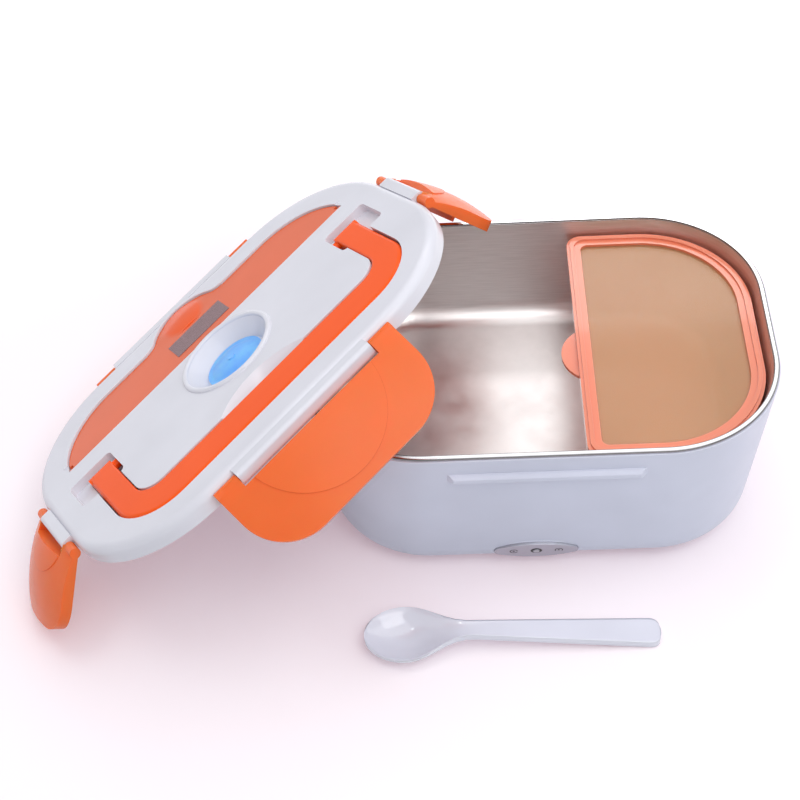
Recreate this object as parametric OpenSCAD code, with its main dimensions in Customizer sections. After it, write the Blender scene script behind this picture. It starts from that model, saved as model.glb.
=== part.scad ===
// Electric lunch box with its lid taken off and leaned on the base.
// Millimetres. The table is z = 0, the length of the base runs along X, the front faces -Y.

/* [Base] */
// Length of the base over its rim
body_l = 238; // [200:1:280]
// Width of the base over its rim
body_w = 170; // [150:1:200]
// Height of the steel rim above the table
body_h = 98; // [85:1:120]
// Corner radius of the base at the rim
corner_r = 62; // [56:1:68]
// How far the side wall leans in from the rim to the foot curve
wall_lean = 9; // [4:0.5:11]
// Radius of the curve between side wall and underside
foot_r = 18; // [12:1:20]
// Wall thickness of the outer shell
shell_t = 2.4; // [1.8:0.1:3]
// Depth of the catch ledges below the rim
ledge_drop = 12.4; // [10:0.2:16]
// How far a catch ledge stands out of the wall
ledge_out = 3; // [2:0.2:3.4]
// Height of a catch ledge
ledge_h = 4.4; // [3:0.2:6]

/* [Liner and heater] */
// Height of the liner floor above the table
liner_floor = 40; // [34:1:50]
// Sheet thickness of the steel liner
liner_t = 0.8; // [0.6:0.1:1.2]
// How far the liner wall leans in
liner_lean = 9; // [6:0.5:10]
// Radius of the curve at the liner floor
liner_foot_r = 12; // [8:1:14]
// Thickness of the heat spreader plate
spreader_t = 3; // [2:0.5:4]
// Height of the heating element
element_h = 8; // [6:0.5:10]

/* [Lid] */
// How far the lid stands out over the rim all round
lid_over = 1.5; // [1:0.1:2.5]
// Height of the lid skirt
lid_h = 10; // [9.6:0.1:11]
// Radius along the top edge of the lid
lid_edge_r = 5; // [3:0.5:5.5]
// Wall thickness of the lid
lid_t = 2.2; // [1.8:0.1:2.4]
// Distance from the end of the lid to the handle leg
leg_inset = 25; // [22:0.5:28]
// Distance from the front of the lid to the grip bar
grip_inset = 18; // [16:0.5:20]
// Width of a handle leg
leg_w = 15; // [12:0.5:16]
// Width of the grip bar of the handle
grip_w = 23; // [18:0.5:24]
// Thickness of the handle
handle_t = 7.6; // [6:0.2:7.6]
// Radius along the edges of the handle
handle_edge_r = 2.6; // [1.6:0.1:3]
// Outer radius of the raised ring round the vent dish
dish_r = 28; // [24:0.5:28]

/* [Lid position] */
// Place of the lid centre from the left end, the middle and the rim of the base
lid_place = [-37.4, -5.5, -2.6];
// Turn of the lid about the vertical
lid_yaw = 39.5; // [30:0.5:50]
// Rise of the lid along its length
lid_tilt = 20.7; // [15:0.1:25]
// Roll of the lid about its length
lid_roll = -25.6; // [-30:0.1:-20]

/* [Latches] */
// Opening angle of the front latch
open_front = 36; // [20:1:90]
// Opening angle of the back latch
open_back = 0; // [0:1:90]
// Opening angle of the left latch
open_left = 50; // [0:1:90]
// Opening angle of the right latch
open_right = 26; // [20:1:90]
// Width of the front and back latches
latch_w = 115; // [100:1:120]
// Width of the two end latches
end_latch_w = 57; // [45:1:62]
// Length of the front and back latches below the hinge
latch_l = 44; // [38:0.5:48]
// Length of an end latch below its hinge
end_latch_l = 45.5; // [40:0.5:48]
// Thickness of a latch
latch_t = 2.4; // [1.8:0.1:3]
// Bulge radius of the face of the front and back latches
latch_ball = 500; // [300:10:900]
// Bulge radius of the face of the end latches
end_latch_ball = 90; // [80:1:200]

/* [Inner container] */
// Position of the straight wall of the inner container
cup_x = 25; // [10:1:40]
// Distance of the container rim below the rim of the base
cup_below = 11.8; // [8:0.2:30]
// Wall thickness of the container
cup_t = 1.6; // [1.2:0.1:2.4]
// Width of the coloured frame of the container lid
frame_w = 7.2; // [6:0.2:12]
// Radius of the pull tab
tab_r = 19; // [14:1:24]

/* [Spoon] */
// Length of the spoon
spoon_l = 148; // [120:1:152]
// Length of the spoon bowl
bowl_l = 51; // [40:1:56]
// Width of the spoon bowl
bowl_w = 33; // [26:1:36]
// Place of the spoon bowl on the table
spoon_at = [-67, -120.8, 0];

/* [Hidden] */
$fn = 96;
eps = 0.01;

// corner centres shared by base, liner, container and lid
hx = body_l / 2 - corner_r;
hy = body_w / 2 - corner_r;

// base shell
foot_h = 1.5;
shell_z = foot_h;
wall_a = atan(wall_lean / (body_h - shell_z - foot_r));
hem_t = 1.6;
shell_top = body_h - hem_t;
foot_cz = shell_z + foot_r;
foot_cx = corner_r - ((body_h - foot_cz) * sin(wall_a) + foot_r) / cos(wall_a);
cover_t = 2;
cover_r = 30;
cover_gap = 0.3;
hatch_r = 22;
floor_ledge_t = 5;
screw_r = 26;
screw_shank_r = 1.4;
screw_head_r = 2.8;
screw_head_t = 1.4;
rubber_r = 7;
rubber_sink = 1;
rubber_out_x = 9;
rubber_out_y = 11;
end_ledge_l = 34;
front_ledge_l = 96;
ledge_back = 3.2;
ledge_chamfer = 3;

// oval lamp plate on the foot curve of the front wall
plate_w = 43;
plate_h = 16;
plate_end = 5;
arc_step = 0.1;
plate_t = 2.4;
plate_proud = 0.6;
plate_x = -4;
plate_z = 14.5;
plate_a = asin((foot_cz - plate_z) / foot_r);
plate_y = -(hy + foot_cx + foot_r * cos(plate_a));
plate_gap = 0.15;
pad_t = 1.6;
lamp_r = 1.6;
lamp_l = 9;
lamp_proud = 0.5;

// power inlet in the rear wall
inlet_x = 0;
inlet_z = 27;
inlet_flange_w = 38;
inlet_flange_h = 19;
inlet_flange_t = 1.6;
inlet_w = 32;
inlet_h = 14.6;
inlet_d = 16;
socket_w = 26;
socket_h = 10.4;
socket_d = 13;
inlet_gap = 0.2;
pin_r = 1.4;
pin_l = 9;
pin_x = 6;
pin_tail = 4;
wall_z_at = body_h - inlet_z;
inlet_y = hy + corner_r - wall_z_at * tan(wall_a);

// liner
hem_in = corner_r - 3.4;
hem_out = corner_r - 0.8;
liner_a = atan(liner_lean / (body_h - liner_floor - liner_foot_r));
liner_under = liner_floor - liner_t;
liner_cz = liner_floor + liner_foot_r;
lid_centre = [lid_place[0] - body_l / 2, lid_place[1], lid_place[2] + body_h];
liner_cx = hem_in - ((body_h - liner_cz) * sin(liner_a) + liner_foot_r) / cos(liner_a);

// heater under the liner
spreader_l = 96;
spreader_w = 60;
spreader_z = liner_under - spreader_t;
element_l = 50;
element_w = 30;
element_z = spreader_z - element_h;
strap_w = 14;
strap_t = 1.2;
strap_in = 0.4;
strap_foot = 9;
stat_r = 8;
stat_h = 9;
stat_x = 37;
fuse_r = 2.2;
fuse_l = 14;
fuse_x = -36;
wire_r = 1.1;
wire_sides = 8;
wire_side = [0.36, 0.48, 0.8];

// lid, in its own frame: top plane w = 0
lid_r = corner_r + lid_over;
lid_l2 = hx + lid_r;
lid_w2 = hy + lid_r;
tub_z = -lid_h - 0.4;
inner_t = 2;
plug_z = tub_z - inner_t;
plug_r = corner_r - 4.6;
plug_wall = 2;
seal_top = -7.5;
seal_bottom = -lid_h + 0.1;
seal_r = lid_r - lid_t - 0.3;
brim_t = 1.7;

// handle and its groove
groove_gap = 0.5;
groove_z = -8.6;
leg_out = lid_l2 - leg_inset;
leg_in = leg_out - leg_w;
grip_out = grip_inset - lid_w2;
grip_in = grip_out + grip_w;
grip_out_r = 31;
grip_in_r = 13;
handle_top = -0.2;
handle_z = handle_top - handle_t;
pivot_w = handle_z + handle_t / 2;
pivot_v = 7.7;
pivot_r = 2.4;
pivot_fit = 0.06;
pivot_slot = 2.8;
pivot_reach = 6.5;
boss_w = 8;
pocket_out = leg_out + 10;
pocket_v0 = -9.5;
pocket_v1 = 16;
pocket_z = -5;
pocket_r = 3;
scoop_v = 29 - grip_in;
scoop_r = 41;
scoop_ball = 60;
scoop_half = 31;

// vent dish and plug
dish_v = 2.7;
ring_r = 1.6;
dish_top_r = dish_r - 2 * ring_r;
dish_floor_r = 18.2;
dish_z = -8.4;
vent_r = 17;
vent_t = 1.4;
vent_dome = 3;
vent_ball = (14.5 * 14.5 + vent_dome * vent_dome) / (2 * vent_dome);
vent_knob_r = 2.2;
stem_r = 2.8;
stem_hole = 3.2;
stem_cut = plug_z - 1;

// spoon bay and cover
bay_v = dish_v + dish_r + 0.3;
bay_r = corner_r - 18.8;
bay_lip = 2.4;
bead_w = 2.4;
bead_h = 0.8;
bay_z = -8.6;
cover_sheet = 2;
cover_w = -0.3;
cover_side = 0.5;
cover_axis_v = bay_v + 1.4;
cover_axis_w = cover_w - cover_sheet / 2;
cover_notch_r = dish_r + 3;
cover_edge = hx + sqrt(pow(bay_r, 2) - pow(cover_axis_v - hy, 2)) - 3.2;
cover_trim = 3;
cover_pin_r = 0.9;
cover_pin_l = 3;
cover_fit = 0.06;
bump_r = 23.6;
bump_v = hy + bay_r - 8.8;
bump_up = 1.5;
bump_ball = 70;
bump_blend = 10;
blend_v = hy + bay_r + bump_blend;
blend_u = sqrt(pow(bump_r + bump_blend, 2) - pow(blend_v - bump_v, 2));
blend_a = atan2(blend_v - bump_v, blend_u);
label_l = 37;
label_low = 7;
label_gap = 3.4;
label_w = bump_v - bay_v - label_low - label_gap;
label_t = 0.3;
label_at = [1, bay_v + label_low + label_w / 2];

// latch hinges
hinge_out = 3.2;
hinge_w = -5;
block_out = 6.2;
block_w = 87;
end_block_w = 37;
block_top = -1;
block_bottom = -9;
block_edge = 2.4;
knuckle_r = 2.8;
latch_pin_r = 1.6;
latch_pin_l = 4;
latch_fit = 0.06;
cheek_gap = 0.4;
cheek_top = 1.2;
latch_in = 0.9;
latch_corner = 27;
end_latch_corner = 17;
under_block = 5.2;
hook_s = ledge_drop + ledge_h + lid_h + hinge_w + 0.4;
hook_t = 1.8;
hook_bite = 1.3;
ledge_gap = hinge_out + lid_over + (ledge_drop + ledge_h / 2) * tan(wall_a) - ledge_out;
hook_in = hinge_out - latch_in + ledge_gap + hook_bite;
rib_t = 1.2;
rib_in = 1.4;
latch_rim_t = 1.8;
latch_foot = -1.6;
latch_lean = 1.5;
latch_peak = 6;
end_latch_peak = 8.2;
oval_r = 38.5;
oval_rise = 0.5;

// container
cup_rest = 0.2;
cup_z = liner_floor + cup_rest;
cup_top = body_h - cup_below;
cup_h = cup_top - cup_z;
cup_foot_r = 8;
cup_a = liner_a;
cup_flange = 2;
cup_flange_t = 1.6;
cup_corner = 6;
frame_t = 3;
frame_skirt = 2.2;
frame_skirt_t = 1.2;
frame_gap = 1;
flange_gap = 1.6;
frame_r = hem_in - cup_below * tan(liner_a) - frame_gap - frame_skirt_t;
cup_r = frame_r - flange_gap - cup_flange;
frame_x = cup_x - cup_flange - flange_gap;
ridge_in = 1.6;
ridge_w = 2.2;
ridge_h = 1.1;
panel_t = 1.4;
panel_grip = 1.4;
tab_y = -6.5;
tab_in = 11;
tab_t = 1.8;

// spoon
spoon_turn = 0.2;
rim_h = 9;
bowl_t = 1.6;
bowl_front = 0.41 * bowl_l;
neck_at = bowl_l + 3;
neck_h = 12;
neck_w = 9.4;
handle_end_w = 15.8;
handle_end_t = 3.4;
handle_dish = 0.5;
end_round = 6;
spoon_steps = 44;
spoon_across = 10;

// ---------- helpers

// carries a half section, drawn from the corner centre, once round the oblong plan
module around() {
    for (sx = [0, 1]) {
        mirror([sx, 0, 0]) {
            for (sy = [0, 1]) {
                mirror([0, sy, 0]) translate([hx, hy, 0]) rotate_extrude(angle = 90) children();
            }
            translate([hx, hy, 0]) rotate([90, 0, 0]) linear_extrude(2 * hy) children();
        }
    }
    for (sy = [0, 1]) {
        mirror([0, sy, 0]) translate([-hx, hy, 0]) rotate([90, 0, 90]) linear_extrude(2 * hx) children();
    }
}

// fills the middle of the plan between two heights
module middle(z0, z1) {
    translate([-hx, -hy, z0]) cube([2 * hx, 2 * hy, z1 - z0]);
}

// half section with a leaning wall and a round foot
module tub_section(r_top, z_top, z_bot, r_foot, a) {
    zc = z_bot + r_foot;
    xc = r_top - ((z_top - zc) * sin(a) + r_foot) / cos(a);
    polygon([
        [0, z_bot], [xc, z_bot], [xc, zc],
        [xc + r_foot * cos(a), zc - r_foot * sin(a)], [r_top, z_top], [0, z_top]
    ]);
    translate([xc, zc]) circle(r_foot);
}

// oblong plan with a given corner radius
module plan(r) {
    translate([-hx, -hy - r]) square([2 * hx, 2 * (hy + r)]);
    translate([-hx - r, -hy]) square([2 * (hx + r), 2 * hy]);
    for (sx = [-1, 1], sy = [-1, 1]) {
        translate([sx * hx, sy * hy]) circle(r);
    }
}

// plan of the inner container: straight on one side, round on the other
module cup_plan(r, x0, rc) {
    y2 = hy + r;
    translate([x0 + rc, -y2]) square([hx - x0 - rc, 2 * y2]);
    translate([x0, -y2 + rc]) square([rc + eps, 2 * (y2 - rc)]);
    for (s = [-1, 1]) {
        translate([x0 + rc, s * (y2 - rc)]) circle(rc);
    }
    intersection() {
        plan(r);
        translate([hx - eps, -y2]) square([r + 1, 2 * y2]);
    }
}

module oval(w, h) {
    square([w - h, h], center = true);
    for (s = [-1, 1]) {
        translate([s * (w - h) / 2, 0]) circle(h / 2);
    }
}

// oval of two long arcs with soft round ends
module lens(w, h) {
    e = plate_end + (h - plate_h) / 2;
    x = w / 2 - e;
    y = h / 2 - e + arc_step;
    r = (x * x + y * y) / (2 * y);
    intersection() {
        translate([0, r - h / 2]) circle(r);
        translate([0, h / 2 - r]) circle(r);
        union() {
            square([2 * x, h + 2], center = true);
            for (s = [-1, 1]) {
                translate([s * x, 0]) circle(e);
            }
        }
    }
}

// carries a half section, drawn from the corner centre, round the front corners of a U plan
module u_sweep(w, l, rc, top) {
    cx = w / 2 - rc;
    cy = rc - l;
    for (s = [0, 1]) {
        mirror([s, 0, 0]) {
            translate([cx, cy, 0]) rotate_extrude() children();
            translate([cx, top, 0]) rotate([90, 0, 0]) linear_extrude(top - cy) children();
        }
    }
    translate([-cx, cy, 0]) rotate([90, 0, 90]) linear_extrude(2 * cx) mirror([1, 0]) children();
}

// slab with a U plan between two heights, with a soft upper edge
module u_slab(w, l, rc, top, z0, z1, edge) {
    u_sweep(w, l, rc, top) cap_section(rc, z0, z1, edge);
    translate([rc - w / 2, rc - l, z0]) cube([w - 2 * rc, top + l - rc, z1 - z0]);
}

// cutter with a U plan whose mouth opens in a soft edge
module u_cutter(w, l, rc, top, z0, z1, edge) {
    u_sweep(w, l, rc, top) {
        translate([0, z0]) square([rc, z1 - z0 + 1]);
        difference() {
            translate([0, z1 - edge]) square([rc + edge, edge + 1]);
            translate([rc + edge, z1 - edge]) circle(edge);
        }
    }
    translate([rc - w / 2, rc - l, z0]) cube([w - 2 * rc, top + l - rc, z1 - z0 + 1]);
}

module tube_x(r, x0, x1) {
    translate([x0, 0, 0]) rotate([0, 90, 0]) cylinder(r = r, h = x1 - x0);
}

// ---------- base

// frame on the outer wall with Z pointing out of the front foot curve
module at_plate() {
    translate([plate_x, plate_y, plate_z]) rotate([90 + plate_a, 0, 0]) children();
}

// frame on the rear wall with Z pointing out of the wall
module at_inlet() {
    translate([inlet_x, inlet_y, inlet_z]) rotate([-90 - wall_a, 0, 0]) children();
}

module ledge(len) {
    out = ledge_out;
    back = ledge_back;
    intersection() {
        rotate([90, 0, 90]) translate([0, 0, -len / 2]) linear_extrude(len) polygon([
            [-back, -ledge_h - 1], [-0.4, -ledge_h], [out - 0.5, -ledge_h],
            [out, -ledge_h + 0.8], [out, -1.4], [out - 1.2, -0.1], [-back, 1.4]
        ]);
        translate([0, 0, -2 * ledge_h]) linear_extrude(4 * ledge_h) polygon([
            [-len / 2, -back - 1], [len / 2, -back - 1], [len / 2, 0],
            [len / 2 - ledge_chamfer, out + eps], [ledge_chamfer - len / 2, out + eps], [-len / 2, 0]
        ]);
    }
}

module ledges() {
    z = body_h - ledge_drop;
    inset = (ledge_drop + ledge_h / 2) * tan(wall_a);
    for (s = [0, 1]) {
        mirror([0, s, 0]) translate([0, body_w / 2 - inset, z]) ledge(front_ledge_l);
        mirror([s, 0, 0]) translate([body_l / 2 - inset, 0, z]) rotate([0, 0, -90]) ledge(end_ledge_l);
    }
}

module inner_wall_cut() {
    around() tub_section(corner_r - shell_t, body_h, shell_z + shell_t, foot_r - shell_t, wall_a);
    middle(shell_z + shell_t, body_h);
}

module screw_spots() {
    for (sx = [-1, 1], sy = [-1, 1]) {
        translate([sx * (hx + screw_r * cos(45)), sy * (hy + screw_r * sin(45)), 0]) children();
    }
}

module base_shell() {
    color([0.92, 0.92, 0.95]) difference() {
        union() {
            around() difference() {
                tub_section(corner_r, body_h, shell_z, foot_r, wall_a);
                tub_section(corner_r - shell_t, body_h + eps, shell_z + shell_t, foot_r - shell_t, wall_a);
                translate([-1, -1]) square([hatch_r + 1, body_h]);
                translate([-1, shell_top]) square([corner_r + 2, hem_t + 1]);
            }
            // thick ring round the hatch
            around() translate([hatch_r, shell_z + shell_t - eps]) square([12, floor_ledge_t - shell_t]);
            difference() {
                ledges();
                inner_wall_cut();
            }
            at_plate() translate([0, 0, plate_proud - plate_t - pad_t]) linear_extrude(pad_t + 1)
                lens(plate_w + 4, plate_h + 2);
            at_inlet() translate([0, 0, -4.5]) linear_extrude(4)
                square([inlet_w + 7, inlet_h + 7], center = true);
        }
        // rebate for the bottom cover
        translate([0, 0, shell_z - 1]) linear_extrude(cover_t + 1) plan(cover_r);
        translate([0, 0, shell_z - 1]) linear_extrude(cover_t + floor_ledge_t + 2) plan(hatch_r);
        screw_spots() cylinder(r = screw_shank_r, h = body_h);
        at_plate() translate([0, 0, plate_proud - plate_t]) linear_extrude(6)
            lens(plate_w + 2 * plate_gap, plate_h + 2 * plate_gap);
        at_plate() translate([0, 0, -12]) cylinder(r = lamp_r + plate_gap, h = 14);
        at_inlet() translate([0, 0, -8]) linear_extrude(16)
            square([inlet_w + 2 * inlet_gap, inlet_h + 2 * inlet_gap], center = true);
        at_inlet() translate([0, 0, -inlet_flange_t]) linear_extrude(8)
            square([inlet_flange_w + 2 * inlet_gap, inlet_flange_h + 2 * inlet_gap], center = true);
    }
}

module bottom_cover() {
    color([0.86, 0.86, 0.9]) difference() {
        translate([0, 0, shell_z]) linear_extrude(cover_t) plan(cover_r - cover_gap);
        screw_spots() cylinder(r = screw_shank_r + 0.2, h = shell_z + cover_t + 1);
        screw_spots() translate([0, 0, shell_z - 1]) cylinder(r = screw_head_r + 0.2, h = screw_head_t + 1);
        for (sx = [-1, 1], sy = [-1, 1]) {
            translate([sx * (hx + rubber_out_x), sy * (hy + rubber_out_y), shell_z - 1])
                cylinder(r = rubber_r, h = rubber_sink + 1);
        }
    }
}

module bottom_screws() {
    color([0.6, 0.6, 0.62]) screw_spots() {
        translate([0, 0, shell_z]) cylinder(r = screw_head_r, h = screw_head_t);
        translate([0, 0, shell_z]) cylinder(r = screw_shank_r - 0.1, h = cover_t + floor_ledge_t - 1.5);
    }
}

module rubber_feet() {
    color([0.2, 0.2, 0.22]) for (sx = [-1, 1], sy = [-1, 1]) {
        translate([sx * (hx + rubber_out_x), sy * (hy + rubber_out_y), 0]) {
            cylinder(r1 = rubber_r - 1, r2 = rubber_r - 0.3, h = 0.7);
            translate([0, 0, 0.7]) cylinder(r = rubber_r - 0.3, h = foot_h + rubber_sink - 0.7);
        }
    }
}

module steel_liner() {
    color([0.75, 0.75, 0.77]) {
        around() {
            difference() {
                tub_section(hem_in + liner_t, body_h - 0.8, liner_under, liner_foot_r + liner_t, liner_a);
                tub_section(hem_in, body_h, liner_floor, liner_foot_r, liner_a);
                translate([-1, liner_floor]) square([liner_cx + 1, body_h]);
            }
            // rolled hem resting on the shell
            translate([hem_in, shell_top]) square([hem_out - hem_in - hem_t / 2, hem_t]);
            translate([hem_out - hem_t / 2, shell_top + hem_t / 2]) circle(hem_t / 2);
        }
        middle(liner_under, liner_floor);
    }
}

module heat_spreader() {
    color([0.8, 0.8, 0.82]) translate([-spreader_l / 2, -spreader_w / 2, spreader_z])
        cube([spreader_l, spreader_w, spreader_t]);
}

module heating_element() {
    color([0.7, 0.68, 0.6]) translate([-element_l / 2, -element_w / 2, element_z])
        cube([element_l, element_w, element_h]);
}

module heater_strap() {
    drop = element_z - strap_t;
    side = spreader_w / 2 + strap_in;
    color([0.7, 0.7, 0.72]) translate([-strap_w / 2, 0, 0]) {
        translate([0, -side - strap_t, drop]) cube([strap_w, 2 * (side + strap_t), strap_t]);
        for (s = [0, 1]) {
            mirror([0, s, 0]) {
                translate([0, side, drop]) cube([strap_w, strap_t, liner_under - drop]);
                translate([0, side, liner_under - strap_t]) cube([strap_w, strap_t + strap_foot, strap_t]);
            }
        }
    }
}

module thermostat() {
    color([0.25, 0.22, 0.2]) translate([stat_x, 0, spreader_z - stat_h]) {
        cylinder(r = stat_r, h = stat_h - 1);
        translate([0, 0, stat_h - 1]) cylinder(r = stat_r + 1.2, h = 1);
    }
}

module thermal_fuse() {
    color([0.9, 0.88, 0.8]) translate([fuse_x, 0, spreader_z - fuse_r]) {
        rotate([90, 0, 0]) translate([0, 0, -fuse_l / 2]) cylinder(r = fuse_r, h = fuse_l);
    }
}

// unit direction of a run, and the mean direction at a bend
function run_way(p, i) = (p[i + 1] - p[i]) / norm(p[i + 1] - p[i]);
function bend_way(p, i) = let (
    w = i == 0 ? run_way(p, 0) : i == len(p) - 1 ? run_way(p, i - 1) : run_way(p, i - 1) + run_way(p, i)
) w / norm(w);

// ring of wire_sides points round a bend
function wire_ring(p, i) = let (
    w = bend_way(p, i),
    c = cross(w, wire_side),
    u = c / norm(c),
    v = cross(w, u)
) [for (k = [0 : wire_sides - 1]) let (a = 360 * k / wire_sides) p[i] + wire_r * (u * cos(a) + v * sin(a))];

module wire_path(pts) {
    n = wire_sides;
    last = len(pts) - 1;
    polyhedron(
        points = [for (i = [0 : last]) each wire_ring(pts, i)],
        faces = [
            [for (k = [0 : n - 1]) k],
            for (i = [0 : last - 1], k = [0 : n - 1]) [
                i * n + k, (i + 1) * n + k, (i + 1) * n + (k + 1) % n, i * n + (k + 1) % n
            ],
            [for (k = [n - 1 : -1 : 0]) last * n + k]
        ]
    );
}

tail_y = inlet_y - (inlet_d + pin_tail) * cos(wall_a);
tail_z = inlet_z + (inlet_d + pin_tail) * sin(wall_a);
wire_z = element_z + element_h / 2;
wire_dip = 8;
wire_spread = 10;
wire_stub = 3;

module heater_wires() {
    back_y = tail_y - wire_stub - wire_r;
    fuse_z = spreader_z - fuse_r;
    stat_z = wire_z - wire_r;
    low_z = wire_z - wire_dip;
    start_y = tail_y - wire_r;
    start_z = tail_z - pin_r - wire_r;
    side_x = element_l / 2;
    color([0.75, 0.15, 0.12]) {
        wire_path([
            [-pin_x, start_y, start_z], [-pin_x - wire_spread, back_y, low_z], [fuse_x, back_y, low_z],
            [fuse_x, fuse_l / 2 + wire_stub, fuse_z], [fuse_x, fuse_l / 2, fuse_z]
        ]);
        wire_path([
            [fuse_x, -fuse_l / 2, fuse_z], [fuse_x, -fuse_l / 2 - wire_stub, fuse_z],
            [-side_x - wire_stub, -fuse_l / 2, wire_z], [-side_x, -fuse_l / 2, wire_z]
        ]);
        wire_path([
            [pin_x, start_y, start_z], [pin_x + wire_spread, back_y, low_z], [stat_x, back_y, low_z],
            [stat_x, stat_r + wire_stub, stat_z], [stat_x, stat_r, stat_z]
        ]);
        wire_path([
            [stat_x, -stat_r, stat_z], [stat_x, -stat_r - wire_stub, stat_z],
            [side_x + wire_stub, -stat_r - wire_stub, wire_z], [side_x, -stat_r - wire_stub, wire_z]
        ]);
    }
}

module lamp_plate() {
    color([0.75, 0.75, 0.8]) at_plate() translate([0, 0, plate_proud - plate_t]) difference() {
        linear_extrude(plate_t) lens(plate_w, plate_h);
        translate([0, 0, -1]) cylinder(r = lamp_r + plate_gap, h = plate_t + 2);
    }
}

module indicator_lamp() {
    color([0.9, 0.3, 0.2]) at_plate() {
        translate([0, 0, plate_proud + lamp_proud - lamp_l]) cylinder(r = lamp_r, h = lamp_l);
        translate([0, 0, plate_proud - plate_t - pad_t - 1.2]) cylinder(r = lamp_r + 1, h = 1.2);
    }
}

module power_inlet() {
    color([0.15, 0.15, 0.17]) at_inlet() difference() {
        union() {
            translate([0, 0, -inlet_flange_t]) linear_extrude(inlet_flange_t + 0.6)
                square([inlet_flange_w, inlet_flange_h], center = true);
            translate([0, 0, -inlet_d]) linear_extrude(inlet_d)
                square([inlet_w, inlet_h], center = true);
        }
        translate([0, 0, -socket_d]) linear_extrude(socket_d + 2) oval(socket_w, socket_h);
        for (s = [-1, 1]) {
            translate([s * pin_x, 0, -inlet_d - 1]) cylinder(r = pin_r, h = 6);
        }
    }
}

module inlet_pins() {
    color([0.85, 0.75, 0.4]) at_inlet() for (s = [-1, 1]) {
        translate([s * pin_x, 0, -inlet_d - pin_tail])
            cylinder(r = pin_r, h = pin_tail + inlet_d - socket_d + pin_l);
        translate([s * pin_x, 0, -socket_d + pin_l]) sphere(pin_r);
    }
}

// ---------- lid

module place_lid() {
    translate(lid_centre) rotate([lid_roll, -lid_tilt, lid_yaw]) children();
}

module cap_section(r, z0, z1, er) {
    translate([0, z0]) square([r, z1 - er - z0]);
    translate([0, z1 - er - eps]) square([r - er, er + eps]);
    translate([r - er, z1 - er]) circle(er);
}

// U plan of the handle, grown by g
module handle_plan(g) {
    ro = grip_out_r + g;
    cx = leg_out - grip_out_r;
    cy = grip_out + grip_out_r;
    ri = grip_in_r - g;
    ix = leg_in - grip_in_r;
    iy = grip_in + grip_in_r;
    difference() {
        union() {
            translate([-cx, grip_out - g]) square([2 * cx, pivot_v - grip_out + g]);
            translate([-leg_out - g, cy]) square([2 * (leg_out + g), pivot_v - cy]);
            for (s = [-1, 1]) {
                translate([s * cx, cy]) circle(ro);
            }
        }
        translate([-ix, grip_in + g]) square([2 * ix, pivot_v - grip_in + 9]);
        translate([-leg_in + g, iy]) square([2 * (leg_in - g), pivot_v - iy + 9]);
        for (s = [-1, 1]) {
            translate([s * ix, iy]) circle(ri);
        }
    }
}

// D plan of the spoon bay, inset by g
module bay_plan(g) {
    intersection() {
        plan(bay_r - g);
        translate([-lid_l2, bay_v + g]) square([2 * lid_l2, lid_w2]);
    }
}

// finger bump of the cover, blended into its curved edge, grown by g
module bump_plan(g) {
    difference() {
        union() {
            intersection() {
                translate([0, bump_v]) circle(bump_r + g);
                translate([-lid_l2, bump_v]) square([2 * lid_l2, lid_w2]);
            }
            translate([-blend_u, bump_v]) square([2 * blend_u, bump_r * sin(blend_a)]);
        }
        for (s = [-1, 1]) {
            translate([s * blend_u, blend_v]) circle(bump_blend - g);
        }
    }
}

// raised lip along the curved edge of the bay
module bay_bead() {
    translate([0, 0, -1]) linear_extrude(1 + bead_h) intersection() {
        difference() {
            union() {
                bay_plan(-bead_w);
                bump_plan(bead_w);
            }
            bay_plan(0);
            bump_plan(cover_side);
        }
        translate([-lid_l2, cover_axis_v + 4]) square([2 * lid_l2, lid_w2]);
    }
}

// pocket beyond the end of a handle leg
module pocket_plan() {
    x0 = leg_in - 3;
    translate([x0 + pocket_r, pocket_v0]) square([pocket_out - x0 - 2 * pocket_r, pocket_v1 - pocket_v0]);
    translate([x0, pocket_v0 + pocket_r]) square([pocket_out - x0, pocket_v1 - pocket_v0 - 2 * pocket_r]);
    for (x = [x0 + pocket_r, pocket_out - pocket_r], y = [pocket_v0 + pocket_r, pocket_v1 - pocket_r]) {
        translate([x, y]) circle(pocket_r);
    }
}

module hinge_block(w, off) {
    translate([-w / 2, 0, 0]) rotate([90, 0, 90]) linear_extrude(w) {
        translate([-off - block_out + block_edge, block_bottom])
            square([block_out - block_edge + 1, block_top - block_bottom]);
        translate([-off - block_out, block_bottom + block_edge])
            square([block_out + 1, block_top - block_bottom - 2 * block_edge]);
        for (z = [block_bottom + block_edge, block_top - block_edge]) {
            translate([-off - block_out + block_edge, z]) circle(block_edge);
        }
    }
}

module sides() {
    for (a = [0, 180]) {
        rotate([0, 0, a]) children(0);
    }
    for (a = [-90, 90]) {
        rotate([0, 0, a]) children(1);
    }
}

module pin_bores(w, off) {
    for (s = [-1, 1]) {
        translate([s * (w / 2 - latch_pin_l / 2), -off - hinge_out, hinge_w]) rotate([0, 90, 0])
            cylinder(r = latch_pin_r + latch_fit, h = latch_pin_l + 1.6, center = true);
    }
}

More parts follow.
